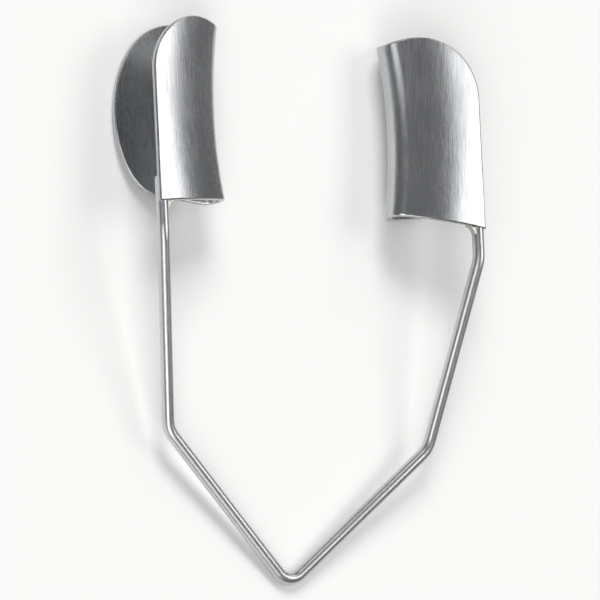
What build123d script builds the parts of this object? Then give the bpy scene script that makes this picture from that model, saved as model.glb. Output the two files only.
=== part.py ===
"""Wire eye speculum with solid blades, about 41 mm long.

One spring wire, bent to the outline of a house, carries a pressed sheet blade on each end.
Each blade is a curved channel that holds the edge of an eyelid. Its front flank lies over
the lid and carries the wire. Its back flank is a rounded D that slips under the lid.
The speculum lies as it rests on a table, on both back flanks and the bottom of the wire.
X runs across, with the mirror plane at X = 0, Y runs towards the far ends of the blades,
and Z points up, away from the table.
"""

import os
from math import atan2, cos, pi, radians, sin

from build123d import *

# Blade sheet
sheet = 0.4  # thickness
edge_round = 0.14  # rounding of all edges of the sheet
web_radius = 1.1  # fold of the channel, at the middle of the sheet
web_turn = 65  # degrees that the fold turns on each side of its middle
front_reach = 6.25  # from the fold to the free edge of the front flank
back_overhang = 0.5  # how much farther the back flank reaches than the front one
bow_radius = 35.0  # the fold is hollow lengthwise, to follow the edge of a lid

# Blade outlines, seen square to the flanks and measured from the waist of the fold
far_y = 6.9  # crown of the far end, shared by both flanks
near_y = 7.2  # near corner of the front flank, at its free edge
crown_x = 1.7  # from the fold to the crown
crown_fall = 5.0  # half-width of the gentle arc from the crown back to the fold
corner_drop = 4.4  # how far the large far corner comes down the free edge
near_slant = 0.75  # how far the near end slants back between free edge and fold
back_near_drop = 1.35  # the back flank's near end stops this far short of the corner
back_near_x = 3.2  # from the fold to where that end begins to turn
back_middle_y = -0.1  # where the back flank reaches farthest
outline_round = 1.0  # rounding where an end turns from the fold to a flank

# Stance of the blades
half_spread = 14.35  # from the mirror plane to the free edge of the front flank
blade_tilt = 3.5  # degrees that the far ends dip towards the table

# Spring wire
wire_d = 0.9
lap_length = 2.0  # stretch of the wire that lies inside the channel
flush_gap = 0.05  # the wire lies this far under the outer face of the flank
collar_y = -9.4  # first bend, from the waist of the fold
knee_x = 11.4
knee_y = -23.05
knee_rise = 1.95  # middle of the wire over the table at the knee
tip_y = -33.55  # where the two legs would meet if the bottom bend were sharp
collar_bend = 3.0  # bend radii at the middle of the wire
knee_bend = 2.0
tip_bend = 1.36

# Brazed joint between wire and blade
braze_leg = 0.25  # sloping bead around the lapped wire, inside the channel
braze_web = 0.5  # hollow bead between the wire and the near end of the flank

past = 2.0  # how far a cutting outline or a blank runs past the finished piece

wire_r = wire_d / 2
back_reach = front_reach + back_overhang
near_slope = near_slant / front_reach
fold_x = half_spread - front_reach


def flank_radius(reach):
    """Radius that brings a flank level just as it reaches its free edge."""
    fold_depth = web_radius * (1 - cos(radians(web_turn)))
    return (reach - fold_depth) / cos(radians(web_turn))


def flank_height(reach):
    """Distance from the middle of the fold to the middle of the sheet at the free edge."""
    fold_height = web_radius * sin(radians(web_turn))
    return fold_height + flank_radius(reach) * (1 - sin(radians(web_turn)))


front_height = flank_height(front_reach)
back_height = flank_height(back_reach)

# The blade's own plane, with its origin on the fold at mid-length: x out to the free
# edges, y along the fold to the far end and z square to the flanks
tilt = radians(blade_tilt)
seat = Plane(origin=(fold_x, 0, 0), x_dir=(1, 0, 0), z_dir=(0, sin(tilt), cos(tilt)))

# Outlines of the two flanks, which share the ends of the fold
fold_near = (0, near_slant - near_y)
past_near = (-past, near_slant - near_y + near_slope * past)
with BuildPart() as outline:
    with BuildSketch(seat):
        with BuildLine():
            crown_middle = (crown_x, far_y - corner_drop)
            corner = EllipticalCenterArc(crown_middle, front_reach - crown_x, corner_drop, arc_size=90)
            fold_end = EllipticalCenterArc(
                crown_middle,
                crown_fall,
                corner_drop,
                start_angle=90,
                arc_size=45,
            )
            Polyline(fold_end @ 1, past_near, (front_reach, -near_y), corner @ 0)
        make_face()
    extrude(amount=front_height + past)
    with BuildSketch(seat):
        with BuildLine():
            back_middle = (crown_x, back_middle_y)
            far_rise = far_y - back_middle_y
            far_round = EllipticalCenterArc(back_middle, back_reach - crown_x, far_rise, arc_size=90)
            fold_end = EllipticalCenterArc(
                crown_middle,
                crown_fall,
                corner_drop,
                start_angle=90,
                arc_size=45,
            )
            near_middle = (back_near_x, back_middle_y)
            near_fall = near_y - back_near_drop + back_middle_y
            near_round = EllipticalCenterArc(near_middle, back_reach - back_near_x, near_fall, arc_size=-90)
            Polyline(fold_end @ 1, past_near, fold_near, near_round @ 1)
        face = make_face()
        near_turns = face.vertices().filter_by(lambda corner: corner.Y < back_middle_y and -past < corner.X)
        fillet(near_turns.sort_by(Axis.Y)[0:2], outline_round)
    extrude(amount=-back_height - past)

# The channel is an open C, turned about an axis square to the flanks on the eye's side,
# so that fold and flanks are hollow lengthwise, and then trimmed to its outlines
bow_origin = seat.from_local_coords(Vector(-bow_radius, 0, 0))
half_sweep = 1.15 * max(far_y, near_y) / bow_radius * 180 / pi
section_x = seat.x_dir.rotate(Axis((0, 0, 0), seat.z_dir), -half_sweep)
section_plane = Plane(origin=bow_origin, x_dir=section_x, z_dir=section_x.cross(seat.z_dir))
with BuildPart() as blade:
    with BuildSketch(section_plane):
        with BuildLine():
            for side, reach in ((1, front_reach), (-1, back_reach)):
                ends = []
                for skin in (-sheet / 2, sheet / 2):
                    fold_start = (bow_radius + skin, 0)
                    fold = JernArc(fold_start, (0, side), web_radius - skin, -side * web_turn)
                    flank = JernArc(fold @ 1, fold % 1, flank_radius(reach) - skin, side * (web_turn - 90))
                    run_on = Line(flank @ 1, flank @ 1 + (flank % 1) * past)
                    ends.append(run_on @ 1)
                Line(ends[0], ends[1])
        make_face()
    revolve(axis=Axis(bow_origin, seat.z_dir), revolution_arc=2 * half_sweep)
    add(outline.part, mode=Mode.INTERSECT)
    walls = blade.faces().filter_by(GeomType.TORUS, reverse=True)
    walls = walls.filter_by(lambda face: abs(face.normal_at().dot(seat.z_dir)) < 0.1)
    skins = blade.faces().filter_by(lambda face: face not in walls)
    rim = [edge for edge in walls.edges() if edge in skins.edges()]
    fillet(rim, edge_round)

# Level of the table under the speculum, in the frame of the blades
table_z = blade.part.bounding_box().min.Z

# Spring wire: from its lapped end along the free edge of the flank, round the collar bend,
# down the arm to the knee, down the leg to the bottom bend on the table, and back up
lap_x = front_reach - wire_r
lap_z = front_height + sheet / 2 - flush_gap - wire_r
lap_end = seat.from_local_coords(Vector(lap_x, lap_length - near_y, lap_z))
collar = seat.from_local_coords(Vector(lap_x, collar_y, lap_z))
knee = Vector(knee_x, knee_y, table_z + knee_rise)
leg_run = knee_y - tip_y
tip_setback = tip_bend * (1 / sin(atan2(knee_x, leg_run)) - 1) / leg_run
tip_rise = (wire_r - tip_setback * knee_rise) / (1 - tip_setback)
tip = Vector(0, tip_y, table_z + tip_rise)
stations = [lap_end, collar, knee, tip]
stations += [Vector(-point.X, point.Y, point.Z) for point in (knee, collar, lap_end)]
with BuildPart() as wire:
    with BuildLine() as wire_line:
        FilletPolyline(*stations, radius=[collar_bend, knee_bend, tip_bend, knee_bend, collar_bend])
    with BuildSketch(Plane(origin=lap_end, z_dir=-seat.y_dir)):
        Circle(wire_r)
    sweep(path=wire_line.line)
    fillet(wire.faces().filter_by(GeomType.PLANE).edges(), 0.6 * wire_r)
    add(blade.part, mode=Mode.SUBTRACT)
    add(mirror(blade.part, about=Plane.YZ, mode=Mode.PRIVATE), mode=Mode.SUBTRACT)

# Braze: a sloping bead round the lapped wire inside the channel, and a hollow bead in the
# corner between the wire and the near end of the flank
bead_x = front_reach - wire_d
bead_y = near_slope * wire_d - near_y
with BuildPart() as bead:
    with BuildSketch(seat.offset(front_height - sheet / 2)) as bead_foot:
        with Locations((lap_x + wire_r / 2, lap_length - near_y + braze_leg)):
            foot_width = 1.5 * wire_r + braze_leg
            foot_length = lap_length + braze_leg + past
            Rectangle(foot_width, foot_length, align=(Align.MAX, Align.MAX))
        fillet(bead_foot.vertices().group_by(Axis.Y)[-1].sort_by(Axis.X)[0], wire_r)
    extrude(amount=-braze_leg, taper=45)
    add(outline.part, mode=Mode.INTERSECT)
    with BuildSketch(seat.offset(front_height - sheet / 2 - braze_leg)):
        with BuildLine():
            on_flank = (bead_x - braze_web, bead_y + near_slope * braze_web)
            on_wire = (bead_x, bead_y - braze_web)
            RadiusArc(on_flank, on_wire, 1.3 * braze_web)
            Polyline(
                on_wire,
                (lap_x, bead_y - braze_web),
                (lap_x, bead_y + edge_round),
                (bead_x - braze_web, bead_y + edge_round + near_slope * braze_web),
                on_flank,
            )
        make_face()
    extrude(amount=sheet / 2 + braze_leg)
    add(blade.part, mode=Mode.SUBTRACT)
    add(wire.part, mode=Mode.SUBTRACT)

# The finished pieces, as they lie on the table
bottom_y = wire.part.bounding_box().min.Y
top_y = blade.part.bounding_box().max.Y
on_table = Location((0, -(bottom_y + top_y) / 2, -table_z))
with BuildPart() as spring_wire:
    with Locations(on_table):
        add(wire.part)
with BuildPart() as blade_right:
    with Locations(on_table):
        add(blade.part)
with BuildPart() as blade_left:
    mirror(blade_right.part, about=Plane.YZ)
with BuildPart() as braze_right:
    with Locations(on_table):
        add(bead.part)
with BuildPart() as braze_left:
    mirror(braze_right.part, about=Plane.YZ)

os.makedirs("parts", exist_ok=True)
spring_wire.part.label = "spring_wire"
export_step(spring_wire.part, "parts/spring_wire.step")
blade_right.part.label = "blade_right"
export_step(blade_right.part, "parts/blade_right.step")
blade_left.part.label = "blade_left"
export_step(blade_left.part, "parts/blade_left.step")
braze_right.part.label = "braze_right"
export_step(braze_right.part, "parts/braze_right.step")
braze_left.part.label = "braze_left"
export_step(braze_left.part, "parts/braze_left.step")
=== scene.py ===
"""Eye speculum of polished stainless steel, lying on a pale table.

The object is put together as the real one is: the bent spring wire, the two pressed
blades that it carries, and the silver braze that joins them.
"""

import bpy
import numpy as np
from mathutils import Matrix, Vector

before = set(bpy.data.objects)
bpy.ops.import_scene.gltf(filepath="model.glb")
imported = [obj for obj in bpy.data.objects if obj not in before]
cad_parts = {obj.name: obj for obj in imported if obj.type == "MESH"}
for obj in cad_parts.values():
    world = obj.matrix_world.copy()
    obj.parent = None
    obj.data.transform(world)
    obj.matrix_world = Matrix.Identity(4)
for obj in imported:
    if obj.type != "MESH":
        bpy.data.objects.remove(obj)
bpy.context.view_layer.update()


# Spring wire: one length of hard drawn stainless wire, 0.9 mm thick, bent cold round
# pins to the outline of a house. Drawing leaves long fine lines along it, and polishing
# by hand leaves it bright.


def linear(hex_colour):
    """The linear colour of an sRGB hex value."""
    srgb = np.array([int(hex_colour[i : i + 2], 16) for i in (1, 3, 5)]) / 255
    low = srgb / 12.92
    high = ((srgb + 0.055) / 1.055) ** 2.4
    return (*np.where(srgb <= 0.04045, low, high), 1.0)


def add_node(material, kind, sockets=None, **settings):
    """Add a node with its settings, and set or link its sockets by name or number."""
    node = material.node_tree.nodes.new(kind)
    for name, value in settings.items():
        setattr(node, name, value)
    for socket, value in (sockets or {}).items():
        if isinstance(value, bpy.types.NodeSocket):
            material.node_tree.links.new(value, node.inputs[socket])
        else:
            node.inputs[socket].default_value = value
    return node


def polished_metal(name, colour, dull_colour, line_width, line_ratio, roughness, depth):
    """Metal polished lengthwise, with lines line_width apart in mm.

    Noise on Object coordinates, drawn out line_ratio times along Y, gives the lines a very
    fine bump. Broad noise mixes the two colours, as handling dulls a bright surface in
    patches. The product of both noises varies the roughness.
    """
    patch_scale = 180.0  # per metre, which gives patches about 6 mm across
    line_height = 0.00002
    smoothest = roughness - 0.05
    roughest = roughness + 0.07
    material = bpy.data.materials.new(name)
    material.use_nodes = True
    shader = material.node_tree.nodes["Principled BSDF"]
    place = add_node(material, "ShaderNodeTexCoord")
    drawn_out = add_node(
        material,
        "ShaderNodeMapping",
        {"Vector": place.outputs["Object"], "Scale": (1, 1 / line_ratio, 1)},
    )
    lines = add_node(
        material,
        "ShaderNodeTexNoise",
        {"Vector": drawn_out.outputs["Vector"], "Scale": 1000 / line_width, "Detail": 3.0},
    )
    patches = add_node(
        material,
        "ShaderNodeTexNoise",
        {"Vector": place.outputs["Object"], "Scale": patch_scale, "Detail": 2.0},
    )
    spread = add_node(
        material,
        "ShaderNodeMath",
        {0: lines.outputs["Fac"], 1: patches.outputs["Fac"]},
        operation="MULTIPLY",
    )
    gloss = add_node(
        material,
        "ShaderNodeMapRange",
        {
            "Value": spread.outputs["Value"],
            "From Min": 0.1,
            "From Max": 0.4,
            "To Min": smoothest,
            "To Max": roughest,
        },
    )
    tone = add_node(
        material,
        "ShaderNodeMixRGB",
        {"Fac": patches.outputs["Fac"], "Color1": linear(colour), "Color2": linear(dull_colour)},
    )
    relief = add_node(
        material,
        "ShaderNodeBump",
        {"Height": lines.outputs["Fac"], "Strength": depth, "Distance": line_height},
    )
    links = material.node_tree.links
    links.new(tone.outputs["Color"], shader.inputs["Base Color"])
    links.new(gloss.outputs["Result"], shader.inputs["Roughness"])
    links.new(relief.outputs["Normal"], shader.inputs["Normal"])
    shader.inputs["Metallic"].default_value = 1.0
    return material


def finish_node(node, material):
    """Give a piece its material in place of the plain one."""
    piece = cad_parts[node]
    piece.data.materials.clear()
    piece.data.materials.append(material)


# Real drawing lines are about 0.02 mm apart and wouldn't show, so these are coarser
wire_steel = polished_metal(
    "drawn_stainless_wire", "#D6D7D8", "#C2C3C5", 0.09, 8, roughness=0.31, depth=0.05
)
finish_node("spring_wire", wire_steel)


# Blades: stainless sheet, 0.4 mm thick, pressed to a channel that is hollow lengthwise,
# with rounded edges. Brushing lengthwise leaves satin lines that spread the light across
# them. Real ones are about 0.03 mm apart and wouldn't show, so these are coarser.

blade_steel = polished_metal(
    "satin_stainless_sheet", "#CCCDCE", "#B6B8BB", 0.12, 20, roughness=0.26, depth=0.22
)
finish_node("blade_left", blade_steel)
finish_node("blade_right", blade_steel)


# Braze: silver alloy, melted into the lap between wire and blade, then filed and
# polished. It is a little warmer in colour than the steel, and softer in gloss.

silver_braze = polished_metal(
    "silver_braze", "#C0BDB6", "#A9A69E", 0.2, 1, roughness=0.32, depth=0.5
)
finish_node("braze_left", silver_braze)
finish_node("braze_right", silver_braze)


# Table: a plain board under the speculum, painted matt white and wide enough to fill
# every view. It stands in for the white paper of the drawing and keeps the shadow.

half_table = 1.5
table_mesh = bpy.data.meshes.new("table")
corners = [(half_table * x, half_table * y, 0) for x, y in ((-1, -1), (1, -1), (1, 1), (-1, 1))]
table_mesh.from_pydata(corners, [], [(0, 1, 2, 3)])
table = bpy.data.objects.new("table", table_mesh)
bpy.context.scene.collection.objects.link(table)
board = bpy.data.materials.new("matt_white_paint")
board.use_nodes = True
board_shader = board.node_tree.nodes["Principled BSDF"]
board_shader.inputs["Base Color"].default_value = linear("#FAFAF8")
board_shader.inputs["Roughness"].default_value = 0.9
table_mesh.materials.append(board)


# Light: a dim pale room and six soft lamps. The edge lamp is mirrored along the free
# edges of the blades, the wire lamp and the near lamp give the wire its bright middle,
# and the two weak far lamps give the flanks a sheen. The strong table lamp is for the
# table alone and isn't mirrored, because it would turn a whole flank plain white.

world = bpy.data.worlds.new("pale_room")
bpy.context.scene.world = world
world.use_nodes = True
room = world.node_tree.nodes["Background"]
room.inputs["Color"].default_value = linear("#E8EAEC")
room.inputs["Strength"].default_value = 0.2


def soft_lamp(name, place, size, power, mirrored=True):
    """A square soft lamp that faces the middle of the speculum."""
    lamp_data = bpy.data.lights.new(name, "AREA")
    lamp_data.size = size
    lamp_data.energy = power
    lamp = bpy.data.objects.new(name, lamp_data)
    lamp.location = place
    lamp.rotation_euler = Vector(place).to_track_quat("Z", "Y").to_euler()
    lamp.visible_glossy = mirrored
    bpy.context.scene.collection.objects.link(lamp)


soft_lamp("edge_lamp", (0.85, 0.22, 1.22), 0.75, 4.7)
soft_lamp("wire_lamp", (-0.9, -0.25, 1.17), 0.75, 4.1)
soft_lamp("near_lamp", (-0.6, -1.05, 1.05), 1.1, 7.5)
soft_lamp("far_left_lamp", (-0.9, 2.2, 2.0), 1.3, 7.0)
soft_lamp("far_right_lamp", (1.5, 2.1, 1.6), 1.3, 7.0)
soft_lamp("table_lamp", (-1.0, 2.4, 2.2), 1.4, 57.0, mirrored=False)


# Camera: the drawing looks down on the speculum from its left, and a little from the
# side of its bottom bend. The lens is so long that parallel edges stay parallel.

turn = np.radians(34.6)  # about the length of the speculum, to its left
lean = np.radians(-8.1)  # towards its bottom bend
roll = np.radians(-0.74)
across = np.array([np.cos(turn), 0, np.sin(turn)])
upward = np.array([np.sin(turn) * np.sin(lean), np.cos(lean), -np.cos(turn) * np.sin(lean)])
camera_x = np.cos(roll) * across + np.sin(roll) * upward
camera_y = np.cos(roll) * upward - np.sin(roll) * across
camera_z = np.cross(camera_x, camera_y)

view_width = 0.04362
between_blades = np.array([0, 0.01326, 0.00283])
left_of_blades = 0.0001
below_blades = 0.0128
view_middle = between_blades - left_of_blades * camera_x - below_blades * camera_y

camera_data = bpy.data.cameras.new("camera")
camera_data.lens = 1000
camera_data.sensor_width = 36
camera_data.clip_end = 5
camera = bpy.data.objects.new("camera", camera_data)
distance = view_width * camera_data.lens / camera_data.sensor_width
stand = view_middle + distance * camera_z
columns = np.column_stack([camera_x, camera_y, camera_z, stand])
camera.matrix_world = Matrix([*columns.tolist(), [0, 0, 0, 1]])
bpy.context.scene.collection.objects.link(camera)
bpy.context.scene.camera = camera

bpy.context.scene.view_settings.view_transform = "Standard"
